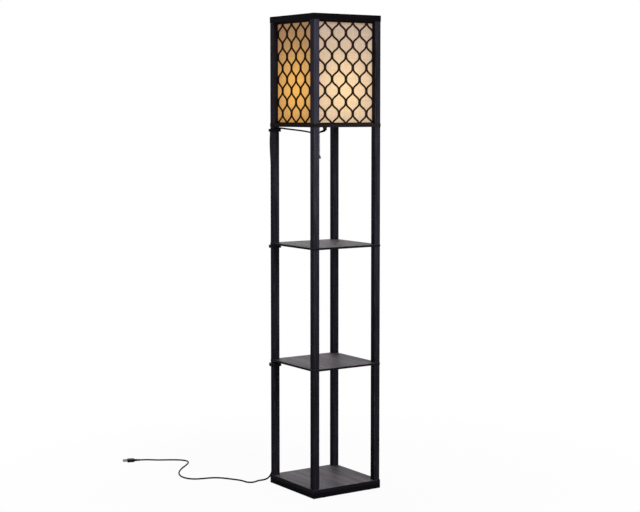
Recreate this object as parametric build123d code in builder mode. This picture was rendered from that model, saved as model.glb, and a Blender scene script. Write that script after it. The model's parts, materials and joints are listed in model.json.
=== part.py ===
"""Shelf floor lamp: a square tower of three open bays under a lattice shade.

Four slim posts stand on a low plinth and carry two thin shelves, a lamp frame with
a cross bar for the socket, and a square shade of four ogee lattice panels backed
with fabric. Millimetres, +Z up, origin on the floor under the middle of the tower,
-Y is the front.
"""
import math
import os

from build123d import *

os.makedirs("parts", exist_ok=True)

# ---- Plan sizes ------------------------------------------------------------------
tower_width = 266.0  # across the outside faces of the posts
post_size = 22.0
post_edge = 0.8  # small chamfer along every post
frame_overhang = 0.5  # shelves and frames stand this far past the posts
base_overhang = 1.5

# ---- Heights, from the floor up --------------------------------------------------
pad_height = 1.5
skirt_height = 16.5
base_panel_height = 12.0
tier_height = 392.0  # length of each tier's posts
shelf_thickness = 7.0
lamp_frame_height = 12.0
shade_height = 336.0
top_frame_height = 20.0

# ---- Base ------------------------------------------------------------------------
skirt_width = 22.0
pad_radius = 8.0
pad_setback = 30.0  # from a post's axis along the rail, clear of the bolt
edge_break = 0.6  # softened edges of panels and rails

# ---- Rails and shelves -----------------------------------------------------------
rail_width = 22.0

# ---- Bolts, studs and dowels -----------------------------------------------------
stud_radius = 3.0
stud_depth = 20.0  # how far a stud goes into each post
hole_clearance = 0.1  # radial, round every stud, bolt, dowel and nipple
hole_spare_depth = 1.0
bolt_head_radius = 5.0
bolt_head_height = 4.0
bolt_sink = 6.0  # depth of the counterbore under the skirt
bolt_reach = 25.0  # into the lower post
dowel_post_depth = 15.0
dowel_rail_depth = 12.0

# ---- Cross bar -------------------------------------------------------------------
bar_width = 60.0
lap_depth = 8.0
lap_height = 6.0
lap_fit = 0.2
screw_radius = 1.5
screw_head_radius = 3.0
screw_head_height = 1.5
screw_length = 10.0

# ---- Shade -----------------------------------------------------------------------
shade_recess = 14.0  # lattice face behind the post faces
lattice_thickness = 3.0
liner_thickness = 1.0
panel_fit = 0.2
panel_end_gap = 0.3
lattice_pitch = 55.0  # between neighbouring openings of one row
lattice_row = 37.7  # between rows
lattice_shift = 3.8  # the pattern sits off centre, to the right from outside
lattice_drop = 2.2  # and its first row of openings lies this far below the top edge
bar_thickness = 5.2  # one lattice strand
merge_width = 7.4  # two strands where they run together
merge_share = 0.32  # share of a row over which they stay together
ogee_swell = 0.052  # how far the strand curves off a straight diagonal
ogee_facets = 3
window_lip = 1.0  # panel showing beside each post
window_top = 6.0
window_bottom = 3.0
smallest_opening = 40.0  # slivers under this area are left solid

# ---- Lamp holder -----------------------------------------------------------------
nipple_radius = 5.0
nipple_bore = 3.2
nipple_below = 7.0  # under the cross bar
nipple_above = 10.0
nut_flats = 14.0
nut_height = 4.5
cap_radius = 17.5
cap_height = 12.0
cap_shoulder = 4.4
socket_wall = 1.2
shell_height = 44.0
switch_radius = 15.0
switch_top = 32.0  # above the cross bar
switch_foot = 4.0
thread_radius = 14.2
thread_wall = 0.8
chute_width = 8.0
chute_height = 18.0
chute_overhang = 4.0
chute_round = 2.0
slot_fit = 0.3

# ---- Bulb ------------------------------------------------------------------------
bulb_fit = 0.3
bulb_cap_height = 24.0
bulb_neck_radius = 14.0
contact_radius = 6.5
contact_slope = 3.2
globe_radius = 30.0
globe_height = 48.0  # middle of the globe above the cap
globe_turn = 30.0  # degrees below its middle where the globe runs into the neck
globe_facets = 8

# ---- Pull chain ------------------------------------------------------------------
chain_offset = 21.0
chain_radius = 1.2
chain_hole_radius = 3.5
chain_guide_fit = 0.4
chain_rise = 26.0  # top of the chain above the cross bar
chain_pivot_below = 10.0  # swing point under the top of the bar
chain_gap = 0.9  # between the two lengths of chain
chain_length = 96.0
bell_radius = 4.2
bell_height = 12.0
bell_shoulder_radius = 3.4
bell_shoulder_drop = 4.8

# ---- Cord and its clips ----------------------------------------------------------
cord_diameter = 4.8
cord_sides = 8
arc_share = 0.45  # of the shorter run, used up by each bend
gland_radius = 6.5
gland_height = 7.0
gland_tip_radius = 3.0
gland_root_radius = 4.5
gland_length = 20.0
gland_seat = 2.3  # how far the nipple enters the gland
clip_radius = 21.0
clip_height = 9.5
clip_fit = 0.2
eye_offset = 16.0  # cord's axis from the post's axis
eye_fit = 0.35
eye_slit = 2.0
upper_clip_drop = 7.0  # top of the clip below the lamp frame
middle_clip_drop = 0.5
lower_clip_drop = 6.0
slot_shift = -3.4  # the upper clip takes the cord on a slant, in a slot
slot_length = 10.6
plug_width = 22.0
plug_thickness = 11.0
plug_length = 26.0
plug_corner = 3.0
relief_length = 20.0
relief_tip_radius = 3.4
relief_root_radius = 4.6
blade_length = 16.0
blade_height = 6.3
blade_thickness = 1.5
blade_spacing = 12.7

# ---- Levels and outlines worked out from the sizes -------------------------------
z_skirt = pad_height
z_base_panel = z_skirt + skirt_height
z_lower = z_base_panel + base_panel_height
z_shelf_lower = z_lower + tier_height
z_middle = z_shelf_lower + shelf_thickness
z_shelf_upper = z_middle + tier_height
z_upper = z_shelf_upper + shelf_thickness
z_lamp = z_upper + tier_height
z_shade = z_lamp + lamp_frame_height
z_top = z_shade + shade_height

post_offset = (tower_width - post_size) / 2
base_half = tower_width / 2 + base_overhang
frame_half = tower_width / 2 + frame_overhang
rail_inner = frame_half - rail_width
panel_face = tower_width / 2 - shade_recess
stud_hole_radius = stud_radius + hole_clearance

corners = {
    "front_left": (-1, -1),
    "front_right": (1, -1),
    "back_left": (-1, 1),
    "back_right": (1, 1),
}
# Each side's outward direction and its right-hand direction as seen from outside
sides = {
    "front": (Vector(0, -1, 0), Vector(1, 0, 0)),
    "back": (Vector(0, 1, 0), Vector(-1, 0, 0)),
    "left": (Vector(-1, 0, 0), Vector(0, -1, 0)),
    "right": (Vector(1, 0, 0), Vector(0, 1, 0)),
}


def keep(piece, name):
    """Label a finished sub-part and write it to its own file."""
    piece.part.label = name
    export_step(piece.part, f"parts/{name}.step")


def post_axes(z):
    """Where the four post axes cross a level."""
    return [(x * post_offset, y * post_offset, z) for x, y in corners.values()]


def facing_down(points):
    """Planes at some points that look down, for holes drilled from below."""
    return [Plane(origin=point, z_dir=(0, 0, -1)) for point in points]


def rail_plane(side, centre, z):
    """Level plane on a rail: x along it, y towards the middle of the tower."""
    outward, rightward = sides[side]
    return Plane(origin=outward * centre + Vector(0, 0, z), x_dir=rightward, z_dir=(0, 0, 1))


def side_plane(side, distance, z):
    """Upright plane on one side: x to the right as seen from outside, y up."""
    outward, rightward = sides[side]
    return Plane(origin=outward * distance + Vector(0, 0, z), x_dir=rightward, z_dir=outward)


def pins(name, *spans):
    """Plain pins on the four post axes over each span of height, one group."""
    with BuildPart() as group:
        for z_foot, z_head in spans:
            with BuildSketch(Plane.XY.offset(z_foot)):
                with Locations(*post_axes(0)):
                    Circle(stud_radius)
            extrude(amount=z_head - z_foot)
    keep(group, name)


# ---- Base: pads, skirt, panel and bolts ------------------------------------------
def foot_pads():
    """Thin felt pads under the two long skirt rails, beside the bolts."""
    along = post_offset - pad_setback
    across = base_half - skirt_width / 2
    with BuildPart() as pads:
        with GridLocations(2 * along, 2 * across, 2, 2):
            Cylinder(pad_radius, pad_height, align=(Align.CENTER, Align.CENTER, Align.MIN))
    keep(pads, "foot_pads")


def base_skirt(side):
    """One rail of the plinth; front and back run full length and take the bolts."""
    full = side in ("front", "back")
    length = 2 * base_half if full else 2 * (base_half - skirt_width)
    with BuildPart() as rail:
        with BuildSketch(rail_plane(side, base_half - skirt_width / 2, z_skirt)):
            Rectangle(length, skirt_width)
        extrude(amount=skirt_height)
        if full:
            chosen = [p for p in post_axes(z_skirt) if p[1] * sides[side][0].Y > 0]
            with Locations(*facing_down(chosen)):
                CounterBoreHole(stud_hole_radius, bolt_head_radius + hole_clearance, bolt_sink)
    keep(rail, f"base_skirt_{side}")


def base_panel():
    """The bottom deck, on which the lower posts stand."""
    with BuildPart() as panel:
        with BuildSketch(Plane.XY.offset(z_base_panel)):
            Rectangle(2 * base_half, 2 * base_half)
        extrude(amount=base_panel_height)
        chamfer(panel.faces().sort_by(Axis.Z)[-1].edges(), length=edge_break)
        with Locations(*post_axes(z_lower)):
            Hole(stud_hole_radius)
    keep(panel, "base_panel")


def base_bolts():
    """Bolts driven up through skirt and panel into the lower posts."""
    z_head = z_skirt + bolt_sink - bolt_head_height
    with BuildPart() as bolts:
        with BuildSketch(Plane.XY.offset(z_head)):
            with Locations(*post_axes(0)):
                Circle(bolt_head_radius)
        extrude(amount=bolt_head_height)
        with BuildSketch(Plane.XY.offset(z_head)):
            with Locations(*post_axes(0)):
                Circle(stud_radius)
        extrude(amount=z_lower + bolt_reach - z_head)
    keep(bolts, "base_bolts")


# ---- Posts and shelves -----------------------------------------------------------
def post(name, corner, z, length, foot_depth, head_depth, rebate=0.0):
    """One upright, drilled at both ends; a rebate takes the shade's panels."""
    side_x, side_y = corners[corner]
    x = side_x * post_offset
    y = side_y * post_offset
    inner = post_offset - post_size / 2 + rebate / 2
    with BuildPart() as upright:
        with BuildSketch(Plane.XY.offset(z)) as section:
            with Locations((x, y)):
                Rectangle(post_size, post_size)
            chamfer(section.vertices(), length=post_edge)
            if rebate:
                with Locations((side_x * inner, side_y * inner)):
                    Rectangle(rebate, rebate, mode=Mode.SUBTRACT)
        extrude(amount=length)
        with Locations((x, y, z + length)):
            Hole(stud_hole_radius, depth=head_depth + hole_spare_depth)
        with Locations(*facing_down([(x, y, z)])):
            Hole(stud_hole_radius, depth=foot_depth + hole_spare_depth)
    keep(upright, name)


def shelf(name, z):
    """Thin square shelf between two tiers of posts."""
    with BuildPart() as board:
        with BuildSketch(Plane.XY.offset(z)):
            Rectangle(2 * frame_half, 2 * frame_half)
        extrude(amount=shelf_thickness)
        chamfer(board.edges().filter_by(Axis.Z, reverse=True), length=edge_break)
        with Locations(*post_axes(z + shelf_thickness)):
            Hole(stud_hole_radius)
    keep(board, name)


# ---- Lamp frame, cross bar and top frame -----------------------------------------
def lamp_rail(side):
    """Rail of the frame under the shade; the side rails are notched for the bar."""
    full = side in ("front", "back")
    length = 2 * frame_half if full else 2 * rail_inner
    with BuildPart() as rail:
        with BuildSketch(rail_plane(side, frame_half - rail_width / 2, z_lamp)):
            Rectangle(length, rail_width)
        extrude(amount=lamp_frame_height)
        if full:
            chosen = [p for p in post_axes(z_shade) if p[1] * sides[side][0].Y > 0]
            with Locations(*chosen):
                Hole(stud_hole_radius)
        else:
            with BuildSketch(rail_plane(side, frame_half - rail_width / 2, z_lamp + lap_height)):
                with Locations((0, (rail_width - lap_depth) / 2)):
                    Rectangle(bar_width + 2 * lap_fit, lap_depth)
            extrude(amount=lamp_frame_height - lap_height, mode=Mode.SUBTRACT)
            with Locations(*[p for p in bar_screw_points() if p[0] * sides[side][0].X > 0]):
                Hole(screw_radius, depth=screw_length)
    keep(rail, f"lamp_rail_{side}")


def bar_screw_points():
    """Heads of the two screws that hold the bar's lapped ends."""
    x = rail_inner + lap_depth / 2
    return [(-x, 0, z_shade), (x, 0, z_shade)]


def cross_bar():
    """Flat bar across the lamp frame that carries the socket."""
    with BuildPart() as bar:
        with BuildSketch(Plane.XY.offset(z_lamp)):
            Rectangle(2 * (rail_inner - lap_fit), bar_width)
        extrude(amount=lamp_frame_height)
        with BuildSketch(Plane.XY.offset(z_lamp + lap_height)):
            Rectangle(2 * (rail_inner + lap_depth - lap_fit), bar_width)
        extrude(amount=lamp_frame_height - lap_height)
        with Locations((0, 0, z_shade)):
            Hole(nipple_radius + hole_clearance)
        with Locations((-chain_offset, 0, z_shade)):
            Hole(chain_hole_radius)
        with Locations(*bar_screw_points()):
            CounterSinkHole(screw_radius, screw_head_radius)
    keep(bar, "cross_bar")


def cross_bar_screws():
    """Countersunk wood screws, flush with the bar."""
    with BuildPart() as screws:
        for x, y, z in bar_screw_points():
            with BuildSketch(Plane(origin=(x, y, 0), x_dir=(1, 0, 0), z_dir=(0, -1, 0))):
                with BuildLine():
                    Polyline(
                        (0, z),
                        (screw_head_radius, z),
                        (screw_radius, z - screw_head_height),
                        (screw_radius, z - screw_length),
                        (0, z - screw_length),
                        close=True,
                    )
                make_face()
            revolve(axis=Axis((x, y, 0), (0, 0, 1)))
    keep(screws, "cross_bar_screws")


def top_rail(side):
    """Rail of the frame that caps the shade, open in the middle."""
    full = side in ("front", "back")
    length = 2 * frame_half if full else 2 * rail_inner
    with BuildPart() as rail:
        with BuildSketch(rail_plane(side, frame_half - rail_width / 2, z_top)):
            Rectangle(length, rail_width)
        extrude(amount=top_frame_height)
        long_edges = rail.faces().sort_by(Axis.Z)[-1].edges().sort_by(SortBy.LENGTH)[-2:]
        chamfer(long_edges, length=edge_break)
        if full:
            chosen = [p for p in post_axes(z_top) if p[1] * sides[side][0].Y > 0]
            with Locations(*facing_down(chosen)):
                Hole(stud_hole_radius, depth=dowel_rail_depth + hole_spare_depth)
    keep(rail, f"top_rail_{side}")


# ---- Lattice shade ---------------------------------------------------------------
def cell_outline():
    """Middle line of the strands round one opening, about the opening's centre.

    Each strand swings from a merge beside the opening to the merge above it on a
    shallow S: a straight diagonal with one sine wave added.
    """
    half_pitch = lattice_pitch / 2
    together = merge_share / 2
    quarter = []
    for step in range(ogee_facets + 1):
        along = step / ogee_facets
        out = 1 - along + ogee_swell * math.sin(2 * math.pi * along)
        up = together + (1 - 2 * together) * along
        quarter.append((out * half_pitch, up * lattice_row))
    # The flat beside a merge stands back by what two strands are wider than one
    quarter[0] = (half_pitch - (merge_width - bar_thickness) / 2, quarter[0][1])
    upper = quarter + [(-x, z) for x, z in reversed(quarter[:-1])]
    return upper + [(-x, -z) for x, z in upper]


def panel_half_width(side):
    """Front and back panels fill the rebates, the side panels fit between them."""
    if side in ("front", "back"):
        return panel_face - panel_fit
    return panel_face - lattice_thickness - liner_thickness - panel_fit


def lattice_openings(plane, height):
    """Faces to cut from a panel: whole rows of ogee cells, trimmed to the window."""
    half_window = tower_width / 2 - post_size - window_lip
    rows = math.ceil(height / lattice_row) + 1
    columns = math.ceil(half_window / lattice_pitch) + 1
    with BuildSketch(plane) as openings:
        for row in range(rows):
            shift = lattice_shift + (row % 2) * lattice_pitch / 2
            centres = [
                (shift + column * lattice_pitch, height / 2 - lattice_drop - row * lattice_row)
                for column in range(-columns, columns + 1)
            ]
            with Locations(*centres):
                add(cell_face())
        with Locations((0, (window_bottom - window_top) / 2)):
            Rectangle(2 * half_window, height - window_top - window_bottom, mode=Mode.INTERSECT)
    return [face for face in openings.sketch.faces() if face.area > smallest_opening]


def cell_face():
    """One opening, drawn in by half a strand all round."""
    with BuildSketch(Plane.XY, mode=Mode.PRIVATE) as cell:
        with BuildLine():
            Polyline(*cell_outline(), close=True)
        make_face()
        offset(amount=-bar_thickness / 2, kind=Kind.INTERSECTION)
    return cell.sketch


def lattice_panel(side):
    """Cut-out panel of the shade, in the rebates of two posts."""
    height = shade_height - 2 * panel_end_gap
    plane = side_plane(side, panel_face, z_shade + shade_height / 2)
    with BuildPart() as panel:
        with BuildSketch(plane):
            Rectangle(2 * panel_half_width(side), height)
        extrude(amount=-lattice_thickness)
        extrude(lattice_openings(plane, height), amount=-lattice_thickness, mode=Mode.SUBTRACT)
    keep(panel, f"lattice_{side}")


def shade_liners():
    """Four fabric sheets, one behind each lattice panel."""
    height = shade_height - 2 * panel_end_gap
    with BuildPart() as sheets:
        for side in sides:
            back = panel_face - lattice_thickness
            with BuildSketch(side_plane(side, back, z_shade + shade_height / 2)):
                Rectangle(2 * panel_half_width(side), height)
            extrude(amount=-liner_thickness)
    keep(sheets, "shade_liners")


# ---- Lamp holder -----------------------------------------------------------------
def nipple():
    """Threaded tube through the cross bar; the cord runs up inside it."""
    with BuildPart() as tube:
        with BuildSketch(Plane.XY.offset(z_lamp - nipple_below)):
            Circle(nipple_radius)
            Circle(nipple_bore, mode=Mode.SUBTRACT)
        extrude(amount=nipple_below + lamp_frame_height + nipple_above)
    keep(tube, "nipple")


def locknut():
    """Hexagon nut on the nipple, against the underside of the bar."""
    with BuildPart() as nut:
        with BuildSketch(Plane.XY.offset(z_lamp - nut_height)):
            RegularPolygon(nut_flats / 2, 6, major_radius=False)
            Circle(nipple_radius + hole_clearance, mode=Mode.SUBTRACT)
        extrude(amount=nut_height)
    keep(nut, "locknut")


def socket_cap():
    """Turned cup at the foot of the lamp holder, threaded on the nipple."""
    with BuildPart() as cup:
        with BuildSketch(Plane.XZ):
            with BuildLine():
                Polyline(
                    (nipple_radius + hole_clearance, z_shade),
                    (cap_radius - cap_shoulder, z_shade),
                    (cap_radius, z_shade + cap_shoulder),
                    (cap_radius, z_shade + cap_height),
                    (cap_radius - socket_wall, z_shade + cap_height),
                    (cap_radius - socket_wall, z_shade + switch_foot),
                    (nipple_radius + hole_clearance, z_shade + switch_foot),
                    close=True,
                )
            make_face()
        revolve(axis=Axis.Z)
    keep(cup, "socket_cap")


def socket_shell():
    """Thin metal sleeve on the cap, slotted for the chain's guide."""
    z_foot = z_shade + cap_height
    with BuildPart() as sleeve:
        with BuildSketch(Plane.XY.offset(z_foot)):
            Circle(cap_radius)
            Circle(cap_radius - socket_wall, mode=Mode.SUBTRACT)
        extrude(amount=shell_height)
        with BuildSketch(Plane.XY.offset(z_foot)):
            with Locations((-cap_radius, 0)):
                Rectangle(cap_radius, chute_width + 2 * slot_fit)
        extrude(amount=switch_top + slot_fit - cap_height, mode=Mode.SUBTRACT)
    keep(sleeve, "socket_shell")


def switch_body():
    """Moulded switch block with the arm that guides the chain down outside the sleeve."""
    z_foot = z_shade + switch_foot
    z_head = z_shade + switch_top
    chute_end = chain_offset + chute_overhang
    with BuildPart() as block:
        with BuildSketch(Plane.XY.offset(z_foot)):
            Circle(switch_radius)
        extrude(amount=switch_top - switch_foot)
        with BuildSketch(Plane.XY.offset(z_head - chute_height)):
            with Locations((-chute_end, 0)):
                Rectangle(chute_end, chute_width, align=(Align.MIN, Align.CENTER))
        extrude(amount=chute_height)
        tip = block.faces().sort_by(Axis.X)[0].edges().filter_by(Axis.Z)
        fillet(tip, radius=chute_round)
        with Locations(*facing_down([(0, 0, z_foot)])):
            Hole(nipple_radius + hole_clearance, depth=nipple_above - switch_foot + hole_spare_depth)
        with Locations(*facing_down([(-chain_offset, 0, z_head - chute_height)])):
            Hole(
                chain_radius + chain_guide_fit,
                depth=chute_height - (switch_top - chain_rise) + hole_spare_depth,
            )
    keep(block, "switch_body")


def screw_shell():
    """Threaded sleeve that takes the bulb's cap, closed by a contact at the bottom."""
    with BuildPart() as sleeve:
        with BuildSketch(Plane.XY.offset(z_shade + switch_top)):
            Circle(thread_radius)
        extrude(amount=cap_height + shell_height - switch_top)
        with Locations((0, 0, z_shade + cap_height + shell_height)):
            Hole(thread_radius - thread_wall, depth=cap_height + shell_height - switch_top - thread_wall)
    keep(sleeve, "screw_shell")


# ---- Bulb ------------------------------------------------------------------------
z_bulb = z_shade + switch_top + thread_wall + bulb_fit
z_bulb_glass = z_bulb + bulb_cap_height


def bulb_cap():
    """Metal screw cap of the bulb."""
    radius = thread_radius - thread_wall - bulb_fit
    with BuildPart() as cap:
        with BuildSketch(Plane.XZ):
            with BuildLine():
                Polyline(
                    (0, z_bulb),
                    (contact_radius, z_bulb),
                    (radius, z_bulb + contact_slope),
                    (radius, z_bulb_glass),
                    (0, z_bulb_glass),
                    close=True,
                )
            make_face()
        revolve(axis=Axis.Z)
    keep(cap, "bulb_cap")


def bulb_globe():
    """Glass of the bulb: a ball that runs down into a neck."""
    z_middle_of_globe = z_bulb_glass + globe_height
    profile = [(0, z_bulb_glass), (bulb_neck_radius, z_bulb_glass)]
    for step in range(globe_facets + 1):
        turn = math.radians(-globe_turn + (90 + globe_turn) * step / globe_facets)
        out = 0 if step == globe_facets else globe_radius * math.cos(turn)
        profile.append((out, z_middle_of_globe + globe_radius * math.sin(turn)))
    with BuildPart() as globe:
        with BuildSketch(Plane.XZ):
            with BuildLine():
                Polyline(*profile, close=True)
            make_face()
        revolve(axis=Axis.Z)
    keep(globe, "bulb_globe")


# ---- Pull chain ------------------------------------------------------------------
z_pivot = z_shade - chain_pivot_below


def chain_rod(name, z_bottom, z_end):
    """One length of the beaded chain as a plain rod."""
    with BuildPart() as rod:
        with BuildSketch(Plane.XY.offset(z_bottom)):
            with Locations((-chain_offset, 0)):
                Circle(chain_radius)
        extrude(amount=z_end - z_bottom)
    keep(rod, name)


def chain_bell():
    """Small turned bell on the end of the chain."""
    z_tip = z_pivot - chain_gap / 2 - chain_length
    waist = chain_radius + chain_guide_fit
    with BuildPart() as bell:
        with BuildSketch(Plane(origin=(-chain_offset, 0, 0), x_dir=(1, 0, 0), z_dir=(0, -1, 0))):
            with BuildLine():
                Polyline(
                    (0, z_tip),
                    (waist, z_tip),
                    (bell_shoulder_radius, z_tip - bell_shoulder_drop),
                    (bell_radius, z_tip - bell_height),
                    (0, z_tip - bell_height),
                    close=True,
                )
            make_face()
        revolve(axis=Axis((-chain_offset, 0, 0), (0, 0, 1)))
    keep(bell, "chain_bell")


# ---- Cord, gland, clips and plug -------------------------------------------------
cord_side = post_offset + eye_offset
z_clip_upper = z_lamp - upper_clip_drop
z_clip_middle = z_shelf_upper - middle_clip_drop
z_clip_lower = z_shelf_lower - lower_clip_drop
# Top of each clip, its eye's place along X from the post's axis, and a slot's length
clips = [
    (z_clip_upper, slot_shift, slot_length),
    (z_clip_middle, 0.0, 0.0),
    (z_clip_lower, 0.0, 0.0),
]
z_cord_joint = z_clip_lower - clip_height / 2

# From the gland, sagging to the back left post, round behind it and down its clips
run_points = [
    (-12.4, 12.4, z_lamp - 18.1),
    (-20.0, 20.0, z_lamp - 22.0),
    (-33.5, 34.0, z_lamp - 19.0),
    (-48.0, 49.0, z_lamp - 14.6),
    (-68.0, 73.0, z_lamp - 10.8),
    (-87.0, 96.0, z_lamp - 7.6),
    (-101.5, 118.0, z_lamp - 4.4),
    (-109.0, 139.0, z_lamp - 3.6),
    (-127.5, cord_side + 0.2, z_lamp - 4.6),
    (-128.6, cord_side, z_lamp - 24.0),
    (-130.0, cord_side + 0.3, z_lamp - 60.0),
    (-124.5, cord_side + 0.2, z_lamp - 150.0),
    (-122.0, cord_side, z_shelf_upper - 5.0),
    (-121.8, cord_side + 0.2, z_shelf_upper - 200.0),
    (-122.0, cord_side, z_cord_joint + 40.0),
    (-122.0, cord_side, z_cord_joint),
]
# From the lowest clip to the floor and out over it in a loose S to the plug
lead_points = [
    (-122.0, cord_side, z_cord_joint),
    (-122.0, cord_side, z_cord_joint - 40.0),
    (-119.5, 138.6, 250.0),
    (-119.6, 138.2, 140.0),
    (-120.0, 139.0, 85.0),
    (-120.5, 141.0, 52.0),
    (-122.5, 147.0, 28.0),
    (-128.0, 157.0, 11.0),
    (-139.0, 169.0, 3.2),
    (-158.0, 174.0, 2.4),
    (-180.6, 163.6, 2.4),
    (-191.0, 164.5, 2.4),
    (-199.8, 170.2, 2.4),
    (-204.9, 179.4, 2.4),
    (-205.5, 192.0, 2.4),
    (-209.0, 212.0, 2.4),
    (-224.0, 238.0, 2.4),
    (-243.0, 272.0, 2.4),
    (-268.0, 295.0, 2.4),
    (-303.0, 303.0, 2.4),
    (-333.0, 312.0, 2.4),
    (-352.0, 338.0, 2.4),
    (-354.0, 378.0, 2.4),
    (-335.0, 425.0, 2.4),
    (-300.0, 470.0, 2.4),
    (-262.0, 505.0, 2.4),
    (-235.0, 533.0, 2.4),
    (-224.0, 562.0, 2.4),
    (-238.0, 590.0, 2.4),
    (-272.0, 614.0, 2.4),
    (-309.0, 634.0, 2.4),
    (-341.0, 650.0, 5.5),
    (-366.0, 661.0, 5.5),
]


def bend_radii(points):
    """Radius of each bend: the arc uses the same share of the shorter run beside it."""
    radii = []
    for before, corner, after in zip(points, points[1:], points[2:]):
        run_in = Vector(corner) - Vector(before)
        run_out = Vector(after) - Vector(corner)
        turn = math.radians(run_in.get_angle(run_out))
        shorter = min(run_in.length, run_out.length)
        radii.append(arc_share * shorter / math.tan(turn / 2))
    return radii


def cord(name, points):
    """Cord along straight runs joined by tangent arcs; prints its own check."""
    radii = bend_radii(points)
    start = Plane(origin=points[0], z_dir=Vector(points[1]) - Vector(points[0]))
    with BuildPart() as tube:
        with BuildLine() as route:
            FilletPolyline(*points, radius=radii)
        with BuildSketch(start) as section:
            RegularPolygon(cord_diameter / 2, cord_sides)
        sweep(path=route.line)
    length = sum(edge.length for edge in route.line.edges())
    ideal = length * section.sketch.area
    print(f"{name}: {length:.0f} mm, volume {tube.part.volume / ideal:.4f} of section x length")
    print("  radii", [round(radius, 1) for radius in radii])
    keep(tube, name)


def cord_gland():
    """Screwed collar under the nipple with a tapered nose aimed along the cord."""
    z_seat = z_lamp - nipple_below + gland_seat
    tip = Vector(run_points[0])
    aim = (Vector(run_points[1]) - tip).normalized()
    root = tip - aim * gland_length
    with BuildPart() as gland:
        with BuildSketch(Plane.XY.offset(z_seat - gland_height)):
            Circle(gland_radius)
        extrude(amount=gland_height)
        with BuildSketch(Plane(origin=root, z_dir=aim)):
            Circle(gland_root_radius)
        with BuildSketch(Plane(origin=tip, z_dir=aim)):
            Circle(gland_tip_radius)
        loft()
        with Locations((0, 0, z_seat)):
            Hole(nipple_radius + hole_clearance, depth=gland_seat)
    keep(gland, "cord_gland")


def cord_clips():
    """Collars round the back left post, each with an eye for the cord, slit to load it."""
    with BuildPart() as group:
        for z_clip_top, eye_shift, eye_length in clips:
            with BuildSketch(Plane.XY.offset(z_clip_top - clip_height)):
                with Locations((-post_offset, post_offset)):
                    Circle(clip_radius)
                    Rectangle(post_size + clip_fit, post_size + clip_fit, mode=Mode.SUBTRACT)
                with Locations((-post_offset + eye_shift, cord_side)):
                    if eye_length:
                        SlotOverall(eye_length, cord_diameter + 2 * eye_fit, mode=Mode.SUBTRACT)
                    else:
                        Circle(cord_diameter / 2 + eye_fit, mode=Mode.SUBTRACT)
                with Locations((-post_offset + eye_shift, cord_side + clip_radius / 2)):
                    Rectangle(eye_slit, clip_radius, mode=Mode.SUBTRACT)
            extrude(amount=clip_height)
    keep(group, "cord_clips")


def plug_plane(distance):
    """Upright plane across the plug, some way past the end of the cord."""
    end = Vector(lead_points[-1])
    aim = (end - Vector(lead_points[-2])).normalized()
    return Plane(origin=end + aim * distance, x_dir=aim.cross(Vector(0, 0, 1)), z_dir=aim)


def plug_body():
    """Moulded flat plug with its strain relief."""
    with BuildPart() as body:
        with BuildSketch(plug_plane(0)):
            Circle(relief_tip_radius)
        with BuildSketch(plug_plane(relief_length)):
            Circle(relief_root_radius)
        loft()
        with BuildSketch(plug_plane(relief_length)):
            RectangleRounded(plug_width, plug_thickness, plug_corner)
        extrude(amount=plug_length)
    keep(body, "plug_body")


def plug_blades():
    """Two flat blades side by side."""
    with BuildPart() as blades:
        with BuildSketch(plug_plane(relief_length + plug_length)):
            with GridLocations(blade_spacing, 1, 2, 1):
                Rectangle(blade_thickness, blade_height)
        extrude(amount=blade_length)
    keep(blades, "plug_blades")


# ---- Build every piece -----------------------------------------------------------
foot_pads()
base_panel()
base_bolts()
shelf("shelf_lower", z_shelf_lower)
shelf("shelf_upper", z_shelf_upper)
for side_name in sides:
    base_skirt(side_name)
    lamp_rail(side_name)
    top_rail(side_name)
    lattice_panel(side_name)
for corner_name in corners:
    post(f"post_lower_{corner_name}", corner_name, z_lower, tier_height, bolt_reach, stud_depth)
    post(f"post_middle_{corner_name}", corner_name, z_middle, tier_height, stud_depth, stud_depth)
    post(f"post_upper_{corner_name}", corner_name, z_upper, tier_height, stud_depth, stud_depth)
    post(
        f"shade_post_{corner_name}",
        corner_name,
        z_shade,
        shade_height,
        stud_depth,
        dowel_post_depth,
        rebate=post_size - shade_recess,
    )
shade_liners()
pins(
    "shelf_studs",
    (z_shelf_lower - stud_depth, z_middle + stud_depth),
    (z_shelf_upper - stud_depth, z_upper + stud_depth),
)
pins("shade_studs", (z_lamp - stud_depth, z_shade + stud_depth))
pins("top_dowels", (z_top - dowel_post_depth, z_top + dowel_rail_depth))
cross_bar()
cross_bar_screws()
nipple()
locknut()
socket_cap()
socket_shell()
switch_body()
screw_shell()
bulb_cap()
bulb_globe()
chain_rod("pull_chain_top", z_pivot + chain_gap / 2, z_shade + chain_rise)
chain_rod("pull_chain", z_pivot - chain_gap / 2 - chain_length, z_pivot - chain_gap / 2)
chain_bell()
cord_gland()
cord_clips()
cord("cord_run", run_points)
cord("cord_lead", lead_points)
plug_body()
plug_blades()
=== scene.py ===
# %% [markdown]
# # A shelf floor lamp, dressed in Blender
#
# The lamp is a slim square tower: a low plinth, three open bays between four posts, two
# thin shelves, and a lattice shade on top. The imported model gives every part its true
# size and place, so this lesson only adds what makes it look real: a camera that stands
# where the photographer stood, a cord that lies like a cord, a cut lattice with linen
# behind it, a lit bulb in its holder, and a finish for every surface.
#
# Everything is in metres. X runs to the right, -Y is the front, and Z is up.

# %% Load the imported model
import json
import math

import bpy
from mathutils import Matrix, Vector

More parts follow.
